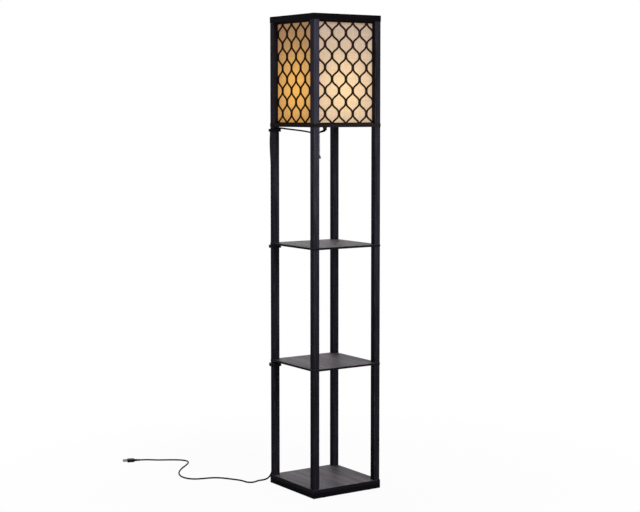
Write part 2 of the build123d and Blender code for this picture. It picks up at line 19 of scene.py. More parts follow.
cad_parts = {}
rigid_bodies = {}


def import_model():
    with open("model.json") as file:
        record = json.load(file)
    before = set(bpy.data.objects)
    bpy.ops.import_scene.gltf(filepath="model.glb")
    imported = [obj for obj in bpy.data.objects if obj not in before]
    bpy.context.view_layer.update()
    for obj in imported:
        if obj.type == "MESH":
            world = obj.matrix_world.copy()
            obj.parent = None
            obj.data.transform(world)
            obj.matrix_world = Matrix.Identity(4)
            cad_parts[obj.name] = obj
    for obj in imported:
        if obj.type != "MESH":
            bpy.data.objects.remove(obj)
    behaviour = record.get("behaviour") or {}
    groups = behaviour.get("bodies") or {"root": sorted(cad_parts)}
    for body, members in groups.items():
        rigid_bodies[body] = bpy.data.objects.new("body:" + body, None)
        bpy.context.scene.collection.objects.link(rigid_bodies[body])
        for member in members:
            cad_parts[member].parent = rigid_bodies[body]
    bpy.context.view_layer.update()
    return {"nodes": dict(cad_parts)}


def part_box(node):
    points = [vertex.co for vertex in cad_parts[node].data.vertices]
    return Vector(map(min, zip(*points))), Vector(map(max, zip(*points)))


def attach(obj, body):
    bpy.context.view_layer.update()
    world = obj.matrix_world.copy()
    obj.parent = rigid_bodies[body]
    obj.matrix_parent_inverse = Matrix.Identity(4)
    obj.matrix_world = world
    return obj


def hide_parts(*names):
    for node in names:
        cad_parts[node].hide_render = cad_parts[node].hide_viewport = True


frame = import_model()

# %% [markdown]
# ## The camera
#
# The front corner of the base is nearest, and both the front and the left side show. The
# camera stands about 1.27 m up and looks slightly down. The picture's middle lies below
# the line of sight, which a view camera does by sliding its back, and Blender with shift.

# %% Camera
CAMERA_PLACE = (-2.7678, -4.1020, 1.2688)
CAMERA_TURN = math.radians(-33.818)
CAMERA_TILT = math.radians(4.026)
CAMERA_LENS = 82.907
CAMERA_SHIFT = -0.0625

camera_data = bpy.data.cameras.new("camera")
camera_data.sensor_width = 36.0
camera_data.lens = CAMERA_LENS
camera_data.shift_y = CAMERA_SHIFT
camera = bpy.data.objects.new("camera", camera_data)
camera.location = CAMERA_PLACE
camera.rotation_euler = (math.pi / 2 - CAMERA_TILT, 0, CAMERA_TURN)
bpy.context.scene.collection.objects.link(camera)
bpy.context.scene.camera = camera
print("camera at", CAMERA_PLACE, "with a lens of", CAMERA_LENS, "mm")

# %% [markdown]
# ## The cord
#
# A mains cord leaves the gland under the lamp holder, sags a little on its way to the
# back left post, goes round behind the post and down through three clips, and runs out
# over the floor in a loose S to its plug. A NURBS spline is a good stand-in for such a
# cord: it passes near its control points in one smooth line, with no straight run and no
# sudden bend. The order is set after the points, or it stays a row of straight runs.

# %% Cord
CORD_DIAMETER = 0.0054
CORD_POINTS = [
    # from the gland to the back left post
    (-0.0124, 0.0124, 1.2019), (-0.0200, 0.0200, 1.1980), (-0.0335, 0.0340, 1.2010),
    (-0.0480, 0.0490, 1.2054), (-0.0680, 0.0730, 1.2092), (-0.0870, 0.0960, 1.2124),
    (-0.1015, 0.1180, 1.2156), (-0.1090, 0.1390, 1.2164), (-0.1275, 0.1382, 1.2154),
    # down the back of the post, through the clips
    (-0.1286, 0.1380, 1.1960), (-0.1300, 0.1383, 1.1600), (-0.1245, 0.1382, 1.0700),
    (-0.1220, 0.1380, 0.8160), (-0.1218, 0.1382, 0.6210), (-0.1220, 0.1380, 0.45125),
    (-0.1220, 0.1380, 0.37125), (-0.1195, 0.1386, 0.2500), (-0.1196, 0.1382, 0.1400),
    (-0.1200, 0.1390, 0.0850), (-0.1205, 0.1410, 0.0520), (-0.1225, 0.1470, 0.0280),
    (-0.1280, 0.1570, 0.0110), (-0.1390, 0.1690, 0.0032),
    # out over the floor, with its middle half its thickness up
    (-0.1580, 0.1740, 0.0027), (-0.1806, 0.1636, 0.0027), (-0.1910, 0.1645, 0.0027),
    (-0.1998, 0.1702, 0.0027), (-0.2049, 0.1794, 0.0027), (-0.2055, 0.1920, 0.0027),
    (-0.2090, 0.2120, 0.0027), (-0.2240, 0.2380, 0.0027), (-0.2430, 0.2720, 0.0027),
    (-0.2680, 0.2950, 0.0027), (-0.3030, 0.3030, 0.0027), (-0.3330, 0.3120, 0.0027),
    (-0.3520, 0.3380, 0.0027), (-0.3540, 0.3780, 0.0027), (-0.3350, 0.4250, 0.0027),
    (-0.3000, 0.4700, 0.0027), (-0.2620, 0.5050, 0.0027), (-0.2350, 0.5330, 0.0027),
    (-0.2240, 0.5620, 0.0027), (-0.2380, 0.5900, 0.0027), (-0.2720, 0.6140, 0.0027),
    (-0.3090, 0.6340, 0.0027), (-0.3410, 0.6500, 0.0055), (-0.3660, 0.6610, 0.0055),
]


def soft_line(name, points, diameter):
    """A round cord along one open spline with these control points."""
    line = bpy.data.curves.new(name, "CURVE")
    line.dimensions = "3D"
    line.bevel_depth = diameter / 2
    line.bevel_resolution = 4
    line.resolution_u = 8
    line.use_fill_caps = True
    spline = line.splines.new("NURBS")
    spline.points.add(len(points) - 1)
    for point, place in zip(spline.points, points):
        point.co = (*place, 1)
    spline.use_endpoint_u = True
    spline.order_u = 3
    piece = bpy.data.objects.new(name, line)
    bpy.context.scene.collection.objects.link(piece)
    return piece


mains_cord = soft_line("mains_cord", CORD_POINTS, CORD_DIAMETER)
print(len(CORD_POINTS), "control points on the cord")

# %% [markdown]
# ## Writing shader maths as sums
#
# A finish is a graph of nodes, and long graphs are hard to read. Here one class wraps an
# output socket and gives it Python's operators, so that a mask can be written as
# `1 - lines * 0.4`. Each sum adds one Math node.

# %% Fields
class Field:
    """A value that changes over a surface: one socket, with Python's operators."""

    def __init__(self, finish, socket):
        self.finish = finish
        self.socket = socket

    def math(self, operation, first, second=None):
        values = {0: first} if second is None else {0: first, 1: second}
        return self.finish.node("Math", {"operation": operation}, values)

    def __add__(self, other):
        return self.math("ADD", self, other)

    __radd__ = __add__

    def __sub__(self, other):
        return self.math("SUBTRACT", self, other)

    def __rsub__(self, other):
        return self.math("SUBTRACT", other, self)

    def __mul__(self, other):
        return self.math("MULTIPLY", self, other)

    __rmul__ = __mul__

    def __rtruediv__(self, other):
        return self.math("DIVIDE", other, self)

    def __abs__(self):
        return self.math("ABSOLUTE", self)

    def sine(self):
        return self.math("SINE", self)

    def larger(self, other):
        return self.math("MAXIMUM", self, other)

    def rise(self, low, high):
        """Smoothly from 0 at low to 1 at high."""
        settings = {"interpolation_type": "SMOOTHSTEP"}
        return self.finish.node("MapRange", settings, {0: self, 1: low, 2: high})


print("fields are ready")

# %% [markdown]
# A second class holds one material. It makes any other node, from its type, its settings
# and what goes into its sockets, and it has short names for those that are used most.

# %% Finishes
class Finish:
    """One material, with a single method that makes its nodes."""

    def __init__(self, name, constants):
        self.material = bpy.data.materials.new(name)
        self.material.use_nodes = True
        self.tree = self.material.node_tree
        self.shader = self.tree.nodes["Principled BSDF"]
        for socket, value in constants.items():
            self.shader.inputs[socket].default_value = value

    def feed(self, socket, value):
        if isinstance(value, Field):
            self.tree.links.new(value.socket, socket)
        else:
            socket.default_value = value

    def node(self, kind, settings, values, output=0):
        made = self.tree.nodes.new("ShaderNode" + kind)
        for setting, value in settings.items():
            setattr(made, setting, value)
        for socket, value in values.items():
            self.feed(made.inputs[socket], value)
        return Field(self, made.outputs[output])

    def place(self):
        """Object coordinates: every finished piece has its place in its mesh."""
        return self.node("TexCoord", {}, {}, "Object")

    def axes(self):
        """The three coordinates as fields."""
        place = self.place()
        return [self.node("SeparateXYZ", {}, {0: place}, axis) for axis in range(3)]

    def noise(self, stretch, detail=3.0, rough=0.5):
        """Cloudy noise with this many lumps a metre along X, Y and Z."""
        place = self.node("Mapping", {}, {"Vector": self.place(), "Scale": stretch})
        values = {"Vector": place, "Scale": 1.0, "Detail": detail, "Roughness": rough}
        return self.node("TexNoise", {}, values)

    def mix(self, share, one, other):
        """A colour between two: the first where share is 0."""
        values = {0: share, 6: one, 7: other}
        return self.node("Mix", {"data_type": "RGBA"}, values, 2)

    def bump(self, height, distance):
        values = {"Height": height, "Distance": distance, "Strength": 1.0}
        self.feed(self.shader.inputs["Normal"], self.node("Bump", {}, values))

    def show(self, **fields):
        """Feed the shader: Base_Color=..., Roughness=..., and so on."""
        for socket, value in fields.items():
            self.feed(self.shader.inputs[socket.replace("_", " ")], value)

    def on(self, *pieces):
        for piece in pieces:
            piece.data.materials.clear()
            piece.data.materials.append(self.material)


print("finishes are ready")

# %% [markdown]
# ## Lacquered black timber
#
# The frame is square timber under a thin satin lacquer, black with a hint of blue. Seen
# close, the grain telegraphs through as faint lighter streaks that run along each stick.
# Noise that is stretched along the grain gives the streaks, and the same noise bumps the
# surface a little. The plinth and the top frame are almost pure black, and the lamp frame
# lies between. The posts carry painted light and shade: they are painted lightest at the
# top of the front left corner, and painted darker towards the floor and the other
# corners.
# They have lost a trace of lacquer along their edges, which is found from the distance to
# the nearest edge line.

# %% Black lacquer, one finish for each direction of the grain
CHARCOAL = ((0.017, 0.0155, 0.022, 1), (0.052, 0.047, 0.066, 1))
# the posts' painted shade: the tones they take low down and at the far corners
CHARCOAL_PAINTED_SHADE = ((0.0045, 0.0040, 0.0060, 1), (0.0145, 0.0130, 0.0190, 1))
SOOT = ((0.007, 0.005, 0.0055, 1), (0.022, 0.017, 0.018, 1))
JET = ((0.0008, 0.0006, 0.0012, 1), (0.0042, 0.0035, 0.0054, 1))
WORN_EDGE = (0.060, 0.054, 0.064, 1)
POST_OFFSET = 0.122
POST_HALF = 0.011
# painted light and shade on the posts: lighter from LIGHT_FROM up to LIGHT_TO, darker far
LIGHT_FROM, LIGHT_TO = 0.30, 1.25
NEAR_CORNER, FAR_CORNER = -0.24, 0.10
FAR_DIMMING = 0.7
WEAR_FROM, WEAR_TO = 0.0004, 0.0022
WEAR = 0.7


def along_grain(axis, across, along):
    """Noise scale: fine across the grain and long along it."""
    stretch = [across] * 3
    stretch[axis] = along
    return stretch


def black_lacquer(name, axis, tones, painted_shade_tones=None):
    """Lacquer with its grain along one axis; only posts have painted light and shade, and
    wear.
    """
    finish = Finish(name, {"Specular IOR Level": 0.02})
    streaks = finish.noise(along_grain(axis, 420.0, 9.0), detail=4.0)
    clouds = finish.noise(along_grain(axis, 30.0, 5.0))
    tone = (streaks * 0.7 + clouds * 0.3).rise(0.36, 0.66)
    colour = finish.mix(tone, *tones)
    if painted_shade_tones:
        x, y, z = finish.axes()
        # painted light and shade: lighter high up at the near corner, darker low and far
        far = (x + y).rise(NEAR_CORNER, FAR_CORNER)
        lit = z.rise(LIGHT_FROM, LIGHT_TO) * (1 - far * FAR_DIMMING)
        colour = finish.mix(lit, finish.mix(tone, *painted_shade_tones), colour)
        in_x = POST_HALF - abs(abs(x) - POST_OFFSET)
        in_y = POST_HALF - abs(abs(y) - POST_OFFSET)
        near_edge = 1 - (in_x + in_y).rise(WEAR_FROM, WEAR_TO)
        scuffs = finish.noise((60.0, 60.0, 25.0), detail=5.0).rise(0.45, 0.7)
        colour = finish.mix(near_edge * scuffs * WEAR, colour, WORN_EDGE)
    finish.show(Base_Color=colour, Roughness=0.44 + streaks * 0.2)
    finish.bump(streaks, 0.0002)
    return finish


soot_x = black_lacquer("soot_along_x", 0, SOOT)
soot_y = black_lacquer("soot_along_y", 1, SOOT)
charcoal_posts = black_lacquer("charcoal_posts", 2, CHARCOAL, CHARCOAL_PAINTED_SHADE)
jet_x = black_lacquer("jet_along_x", 0, JET)
jet_y = black_lacquer("jet_along_y", 1, JET)
print("three lacquers, in the directions of the grain")

# %% [markdown]
# ## Shelf boards
#
# The shelves and the base deck are board with a printed grey-brown wood grain on top and
# a black edge. One material does both: its colour is the grain near the top face, and
# black below it. The grain has broad bands, thin dark lines and a few short pores.

# %% Grey-brown grain on the deck and the shelves
GRAIN_DARK = (0.028, 0.0235, 0.028, 1)
GRAIN_LIGHT = (0.117, 0.1015, 0.115, 1)
EDGE_BLACK = (0.004, 0.0035, 0.005, 1)
TOP_SKIN = 0.0007


def shelf_foil(name, top):
    """Printed grain for a board whose top face is at this height."""
    finish = Finish(name, {"Specular IOR Level": 0.04})
    x, y, z = finish.axes()
    bands = finish.noise((38.0, 2.2, 1.0), detail=4.0, rough=0.6)
    lines = finish.noise((260.0, 6.0, 1.0), detail=3.0)
    pores = finish.noise((900.0, 45.0, 1.0), detail=2.0).rise(0.60, 0.72)
    tone = (bands * 0.55 + lines * 0.45).rise(0.34, 0.66)
    grain = finish.mix(tone, GRAIN_DARK, GRAIN_LIGHT)
    grain = finish.mix(pores * 0.5, grain, EDGE_BLACK)
    on_top = z.rise(top - TOP_SKIN, top - TOP_SKIN / 2)
    finish.show(
        Base_Color=finish.mix(on_top, EDGE_BLACK, grain),
        Roughness=0.42 + lines * 0.18 + pores * 0.1,
    )
    finish.bump(lines - pores * 0.6, 0.0001)
    return finish


for board in ("base_panel", "shelf_lower", "shelf_upper"):
    shelf_foil("foil_" + board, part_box(board)[1].z).on(frame["nodes"][board])
print("grain on three boards")

# %% [markdown]
# ## Lattice board and linen
#
# The lattice is thin board, cut and stained almost black, a little warm beside the lit
# cloth. The cloth behind it is a warm white linen. Close up it shows a plain weave, and
# from further away slubs: long thicker threads both ways. The bulb lights it from inside,
# strongest level with the globe. The glow is an emission colour that falls off with the
# distance from the globe, and is a little stronger on the slubs. In the photograph the
# left side glows warmer and deeper than the front, so there are two sets of colours.

# %% Lattice stain and lit linen
CLOTH_DARK = (0.26, 0.233, 0.204, 1)
CLOTH_LIGHT = (0.36, 0.326, 0.280, 1)
BULB_HEIGHT = 1.345
GLOW_REACH = 0.018
EVEN_GLOW = 0.84
NO_LIGHT = (0, 0, 0, 1)
THREAD = 0.0009
SLUB_FINE = 700.0
SLUB_LONG = 18.0
STAIN_DARK = (0.010, 0.006, 0.004, 1)
STAIN_LIGHT = (0.024, 0.014, 0.009, 1)


def lattice_stain():
    """Dark stain, cloudy and a little speckled."""
    finish = Finish("lattice_stain", {"Specular IOR Level": 0.04})
    specks = finish.noise((500.0, 500.0, 500.0), detail=4.0)
    clouds = finish.noise((25.0, 25.0, 25.0))
    tone = (specks * 0.5 + clouds * 0.5).rise(0.35, 0.65)
    colour = finish.mix(tone, STAIN_DARK, STAIN_LIGHT)
    finish.show(Base_Color=colour, Roughness=0.6 + specks * 0.2)
    finish.bump(specks, 0.00015)
    return finish


def lit_linen(name, across, centre_glow, edge_glow):
    """Linen whose threads run up and across; across is 0 for X or 1 for Y."""
    finish = Finish(name, {"Specular IOR Level": 0.1, "Emission Strength": 1.0})
    axes = finish.axes()
    wide, up = axes[across], axes[2]
    waves = 2 * math.pi / THREAD
    weave = (wide * waves).sine() * (up * waves).sine()
    up_slubs = finish.noise((SLUB_FINE, SLUB_FINE, SLUB_LONG), detail=2.0)
    across_slubs = finish.noise((SLUB_LONG, SLUB_LONG, SLUB_FINE), detail=2.0)
    slubs = (up_slubs + across_slubs - 1).rise(-0.22, 0.22)
    cloth = finish.mix(slubs, CLOTH_DARK, CLOTH_LIGHT)
    from_bulb = wide * wide + (up - BULB_HEIGHT) * (up - BULB_HEIGHT)
    near = GLOW_REACH / (from_bulb + GLOW_REACH)
    glow = finish.mix(near, edge_glow, centre_glow)
    glow = finish.mix(EVEN_GLOW + slubs * (1 - EVEN_GLOW), NO_LIGHT, glow)
    finish.show(Base_Color=cloth, Emission_Color=glow, Roughness=0.85 + slubs * 0.1)
    finish.bump(weave * 0.5 + slubs * 0.5, 0.0002)
    return finish


stain = lattice_stain()
PALE_GLOW = ((0.75, 0.467, 0.168, 1), (0.055, 0.004, 0.043, 1))
WARM_GLOW = ((0.90, 0.424, 0.038, 1), (0.030, 0.012, 0.034, 1))
linens = {
    "front": lit_linen("linen_front", 0, *PALE_GLOW),
    "right": lit_linen("linen_right", 1, *PALE_GLOW),
    "back": lit_linen("linen_back", 0, *WARM_GLOW),
    "left": lit_linen("linen_left", 1, *WARM_GLOW),
}
print("stain and four linens")

# %% [markdown]
# ## Small finishes
#
# The fittings need a dozen quiet materials: black painted steel with fine orange peel,
# moulded phenolic and plastic, the cord's rubber jacket, zinc, brass, nickel, bare
# aluminium, the blackened steel of the chain, felt, beech, and frosted glass that glows.
# One recipe covers them all: two close colours mixed by noise, a roughness that the noise
# moves, and a small bump.

# %% A recipe for plain materials, and the materials
def plain_finish(name, dark, light, rough, grit, depth, constants=None):
    """Two close colours, mixed by noise with this many grains a metre."""
    finish = Finish(name, constants or {})
    fine = finish.noise((grit, grit, grit), detail=4.0)
    broad = finish.noise((grit / 12, grit / 12, grit / 12))
    tone = (fine * 0.5 + broad * 0.5).rise(0.35, 0.65)
    finish.show(Base_Color=finish.mix(tone, (*dark, 1), (*light, 1)))
    finish.show(Roughness=rough + (tone - 0.5) * 0.16)
    finish.bump(fine, depth)
    return finish


METAL = {"Metallic": 1.0}
SATIN = {"Specular IOR Level": 0.3}
DULL = {"Specular IOR Level": 0.04}
BULB_LIGHT = {"Emission Color": (1.0, 0.80, 0.48, 1), "Emission Strength": 2.2}
painted_metal = plain_finish(
    "painted_metal", (0.011, 0.011, 0.013), (0.026, 0.025, 0.029),
    rough=0.4, grit=900.0, depth=0.00008, constants=SATIN)
phenolic = plain_finish(
    "phenolic", (0.014, 0.012, 0.011), (0.030, 0.026, 0.024),
    rough=0.35, grit=500.0, depth=0.00005, constants=SATIN)
black_plastic = plain_finish(
    "black_plastic", (0.003, 0.003, 0.0035), (0.010, 0.0095, 0.011),
    rough=0.45, grit=1200.0, depth=0.00008, constants=DULL)
jacket = plain_finish(
    "cord_jacket", (0.002, 0.002, 0.0025), (0.007, 0.0065, 0.008),
    rough=0.5, grit=800.0, depth=0.00006, constants=DULL)
zinc = plain_finish(
    "zinc", (0.40, 0.40, 0.41), (0.62, 0.62, 0.60),
    rough=0.38, grit=700.0, depth=0.00004, constants=METAL)
brass = plain_finish(
    "brass", (0.60, 0.42, 0.16), (0.83, 0.64, 0.30),
    rough=0.28, grit=500.0, depth=0.00004, constants=METAL)
nickel = plain_finish(
    "nickel", (0.16, 0.155, 0.15), (0.26, 0.25, 0.24),
    rough=0.35, grit=600.0, depth=0.00004, constants=METAL)
aluminium = plain_finish(
    "aluminium", (0.62, 0.62, 0.62), (0.82, 0.82, 0.81),
    rough=0.3, grit=600.0, depth=0.00004, constants=METAL)
black_chain = plain_finish(
    "black_chain", (0.020, 0.020, 0.022), (0.060, 0.058, 0.062),
    rough=0.3, grit=900.0, depth=0.00003, constants=METAL)
felt = plain_finish(
    "felt", (0.018, 0.018, 0.020), (0.070, 0.070, 0.075),
    rough=0.9, grit=2500.0, depth=0.0004)
beech = plain_finish(
    "beech", (0.50, 0.33, 0.19), (0.66, 0.47, 0.29),
    rough=0.55, grit=300.0, depth=0.0001)
frosted_glass = plain_finish(
    "frosted_glass", (0.80, 0.76, 0.68), (0.90, 0.86, 0.78),
    rough=0.5, grit=1500.0, depth=0.00003, constants=BULB_LIGHT)
print("small finishes are ready")

# %% [markdown]
# ## Hand tools
#
# Blender's operators act on what is selected, and the loaded model is selected at first.
# So each piece starts by clearing the selection, and ends with its place in its mesh.

# %% Select, settle and seal
def clear():
    """Leave edit mode and deselect everything."""
    if bpy.context.object and bpy.context.object.mode != "OBJECT":
        bpy.ops.object.mode_set(mode="OBJECT")
    bpy.ops.object.select_all(action="DESELECT")


def take(piece):
    """Make one piece the only selected one, and the active one."""
    clear()
    piece.select_set(True)
    bpy.context.view_layer.objects.active = piece


def settle(name):
    """Name the piece just added, and move its place into its mesh."""
    piece = bpy.context.object
    piece.name = piece.data.name = name
    bpy.ops.object.transform_apply(location=True, rotation=True, scale=True)
    return piece


def box_at(name, low, high):
    """A cube added between two corners."""
    clear()
    middle = (Vector(low) + Vector(high)) / 2
    bpy.ops.mesh.primitive_cube_add(size=1, location=middle)
    bpy.context.object.scale = Vector(high) - Vector(low)
    return settle(name)


def pick_faces(piece, test):
    """Go into edit mode with only the faces selected whose centre and normal pass."""
    take(piece)
    bpy.ops.object.mode_set(mode="EDIT")
    bpy.ops.mesh.select_mode(type="FACE")
    bpy.ops.mesh.select_all(action="DESELECT")
    bpy.ops.object.mode_set(mode="OBJECT")
    for face in piece.data.polygons:
        face.select = test(face.center, face.normal)
    bpy.ops.object.mode_set(mode="EDIT")


def seal(piece, smooth_angle=40.0):
    """Merge doubles, point the faces outwards and smooth all but the real edges."""
    take(piece)
    bpy.ops.object.mode_set(mode="EDIT")
    bpy.ops.mesh.select_all(action="SELECT")
    bpy.ops.mesh.remove_doubles(threshold=0.000001)
    bpy.ops.mesh.normals_make_consistent(inside=False)
    bpy.ops.object.mode_set(mode="OBJECT")
    bpy.ops.object.shade_smooth_by_angle(angle=math.radians(smooth_angle))
    return piece


print("tools to select, settle and seal")

# %% [markdown]
# A modifier is applied as soon as it is set, so that the next step works on its result. A
# turned part is a circle that is extruded and scaled, again and again, up its outline, as
# a lathe hand would read it off a drawing.

# %% Repeat, turn, lay down and join
def apply_modifier(piece, kind, **settings):
    """Add a modifier, set it and apply it."""
    take(piece)
    modifier = piece.modifiers.new(kind.lower(), kind)
    for setting, value in settings.items():
        setattr(modifier, setting, value)
    bpy.ops.object.modifier_apply(modifier=modifier.name)


def repeat(piece, count, step):
    """Repeat a piece this many times, each a step further."""
    apply_modifier(
        piece, "ARRAY", count=count, use_relative_offset=False,
        use_constant_offset=True, constant_offset_displace=step)


def turned(name, outline, axis=(0.0, 0.0), sides=48):
    """Turn a part: a circle pushed and scaled along (radius, height) pairs."""
    clear()
    radius, height = outline[0]
    bpy.ops.mesh.primitive_circle_add(
        vertices=sides, radius=radius, fill_type="NGON", location=(*axis, height))
    piece = settle(name)
    bpy.ops.object.mode_set(mode="EDIT")
    bpy.ops.mesh.select_all(action="SELECT")
    for (here, low), (there, high) in zip(outline, outline[1:]):
        bpy.ops.mesh.extrude_region_move(
            TRANSFORM_OT_translate={"value": (0, 0, high - low)})
        share = there / here
        bpy.ops.transform.resize(value=(share, share, 1), center_override=(*axis, high))
    bpy.ops.object.mode_set(mode="OBJECT")
    return seal(piece)


def lay_along(piece, start, aim, across=None):
    """Move a piece made along +Z so that it starts at a point and runs along aim."""
    aim = Vector(aim).normalized()
    across = Vector(across).normalized() if across else aim.orthogonal().normalized()
    turn = Matrix((across, aim.cross(across), aim)).transposed().to_4x4()
    piece.data.transform(Matrix.Translation(start) @ turn)


def join(name, *pieces):
    """Join pieces into one."""
    take(pieces[0])
    for piece in pieces:
        piece.select_set(True)
    bpy.ops.object.join()
    pieces[0].name = pieces[0].data.name = name
    return pieces[0]


def finished(piece, body, slot, finish, *nodes):
    """Give a piece its body and its finish, and hide the nodes it stands for; slot is not
    used.
    """
    finish.on(piece)
    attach(piece, body)
    if nodes:
        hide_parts(*nodes)
    print(f"{piece.name}: {len(piece.data.polygons)} faces")


print("tools to repeat, turn, lay down and join")

# %% [markdown]
# ## The lattice
#
# Each panel is one board with rows of ogee openings, staggered by half a pitch. On the
# real lamp a router or laser cuts them, and cutting is also the best way here: one ogee
# is drawn, extruded into a cutter, repeated by two Array modifiers, trimmed to the
# panel's window, and taken out of a plain board by a Boolean modifier.
#
# The ogee's edge is a strand's middle line, moved in by half a strand. The middle line is
# half a cosine wave: upright where it touches the next strand beside the opening, and
# upright again where it touches the other one above it. A little of a wave three times
# as fast makes the bellies rounder.

# %% One ogee outline
PITCH = 0.055
ROW = 0.0377
SHIFT = 0.0038
DROP = 0.0022
STRAND = 0.0054
MERGE = 0.0086
ROUNDER = 0.10
STEPS = 16


def quarter_ogee():
    """The opening's upper right edge, from its side to its tip."""
    reach = PITCH / 4 - (MERGE - STRAND) / 2
    points = []
    for step in range(STEPS + 1):
        wave = math.pi * step / STEPS
        swing = (1 + ROUNDER) * math.cos(wave) - ROUNDER * math.cos(3 * wave)
        turn = 3 * ROUNDER * math.sin(3 * wave) - (1 + ROUNDER) * math.sin(wave)
        slope = reach * turn * math.pi / ROW
        inward = STRAND / 2 / math.hypot(1, slope)
        points.append((
            PITCH / 4 + reach * swing - inward,
            ROW * step / STEPS + slope * inward,
        ))
    inside = [point for point in points if point[0] > 0]
    (x0, z0), (x1, z1) = inside[-1], points[len(inside)]
    return inside + [(0.0, z0 + (z1 - z0) * x0 / (x0 - x1))]


def ogee_outline():
    """All four quarters in order, with no point twice."""
    right = quarter_ogee()
    upper = right + [(-x, z) for x, z in reversed(right[:-1])]
    return upper + [(-x, -z) for x, z in upper[1:-1]]


outline = ogee_outline()
opening_height = 2 * max(z for x, z in outline)
print(len(outline), "points round one opening,", round(1000 * opening_height), "mm tall")

# %% [markdown]
# The cutters reach a little past both faces of the board, so that no face of a cutter
# lies in a face of the board. Slivers that the window leaves along its sides are too thin
# to cut cleanly in real board, so they are thrown away, and stay solid.

# %% All the cutters
lattice_low, lattice_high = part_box("lattice_front")
PAST = 0.001
WINDOW_HALF = 0.110
WINDOW_TOP = 0.006
WINDOW_BOTTOM = 0.003
SLIVER = 0.00004

panel_height = lattice_high.z - lattice_low.z
rows = math.ceil(panel_height / ROW) + 1
columns = math.ceil(WINDOW_HALF / PITCH) + 1


def cutters_from(row):
    """Every second row of cutters, from this one down."""
    clear()
    bpy.ops.mesh.primitive_circle_add(
        vertices=len(outline), radius=PITCH / 2, fill_type="NGON")
    cutter = settle(f"cutters_{row}")
    first_x = SHIFT + row * PITCH / 2 - columns * PITCH
    first_z = lattice_high.z - DROP - row * ROW
    for vertex, (x, z) in zip(cutter.data.vertices, outline):
        vertex.co = (first_x + x, lattice_low.y - PAST, first_z + z)
    bpy.ops.object.mode_set(mode="EDIT")
    bpy.ops.mesh.select_all(action="SELECT")
    depth = lattice_high.y - lattice_low.y + 2 * PAST
    bpy.ops.mesh.extrude_region_move(TRANSFORM_OT_translate={"value": (0, depth, 0)})
    bpy.ops.mesh.select_all(action="SELECT")
    bpy.ops.mesh.normals_make_consistent(inside=False)
    bpy.ops.object.mode_set(mode="OBJECT")
    repeat(cutter, 2 * columns + 1, (PITCH, 0, 0))
    repeat(cutter, rows // 2 + 1, (0, 0, -2 * ROW))
    return cutter


window = box_at(
    "window",
    (-WINDOW_HALF, lattice_low.y - 2 * PAST, lattice_low.z + WINDOW_BOTTOM),
    (WINDOW_HALF, lattice_high.y + 2 * PAST, lattice_high.z - WINDOW_TOP),
)
cutters = join("cutters", cutters_from(0), cutters_from(1))
apply_modifier(cutters, "BOOLEAN", operation="INTERSECT", object=window, solver="EXACT")
take(cutters)
bpy.ops.mesh.separate(type="LOOSE")
kept, slivers = [], []
for part in list(bpy.context.selected_objects):
    area = sum(face.area for face in part.data.polygons if face.normal.y < -0.9)
    (kept if area > SLIVER else slivers).append(part)
for part in slivers:
    bpy.data.objects.remove(part)
cutters = join("cutters", *kept)
bpy.data.objects.remove(window)
print(len(kept), "openings and", len(slivers), "slivers left solid")

# %% [markdown]
# The front and back panels are wider than the side panels, which stand between them. So
# two boards are cut, each is copied once, and the pieces are turned to their sides.

# %% Cut the boards and turn them to their sides
QUARTER_TURNS = {"front": 0, "right": 1, "back": 2, "left": 3}
wide_half = lattice_high.x
narrow_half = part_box("lattice_right")[1].y


def turn_to(side, piece):
    """Turn a piece made for the front to its own side."""
    piece.data.transform(Matrix.Rotation(QUARTER_TURNS[side] * math.pi / 2, 4, "Z"))


def cut_board(name, half_width):
    """A plain board in the front panel's place, less the cutters."""
    board = box_at(
        name,
        (-half_width, lattice_low.y, lattice_low.z),
        (half_width, lattice_high.y, lattice_high.z),
    )
    apply_modifier(
        board, "BOOLEAN", operation="DIFFERENCE", object=cutters, solver="EXACT")
    return board


def copy_of(piece, name):
    """A copy with its own mesh."""
    copy = piece.copy()
    copy.data = piece.data.copy()
    copy.name = copy.data.name = name
    bpy.context.scene.collection.objects.link(copy)
    return copy


wide_board = cut_board("lattice_panel_front", wide_half)
narrow_board = cut_board("lattice_panel_right", narrow_half)
panels = {
    "front": wide_board,
    "right": narrow_board,
    "back": copy_of(wide_board, "lattice_panel_back"),
    "left": copy_of(narrow_board, "lattice_panel_left"),
}
bpy.data.objects.remove(cutters)
for side, panel in panels.items():
    turn_to(side, panel)
    finished(panel, "tower", "lattice_board", stain, "lattice_" + side)

# %% [markdown]
# ## The linen
#
# A sheet of linen is stretched behind each panel and glued to it. Stretched cloth is
# nearly flat, but never quite: between the glued edges it stands off by a hair, more in
# some places than in others. Each sheet starts as a fine grid, is moved by that hair, and
# is given its thickness.

# %% Four sheets of linen
SHEET_THICKNESS = 0.0006
SHEET_GAP = 0.00005
PUCKER = 0.0002
RIPPLE = 0.5
liner_low, liner_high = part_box("shade_liners")
sheet_bottom = liner_low.z
sheet_middle = (liner_high.z + liner_low.z) / 2


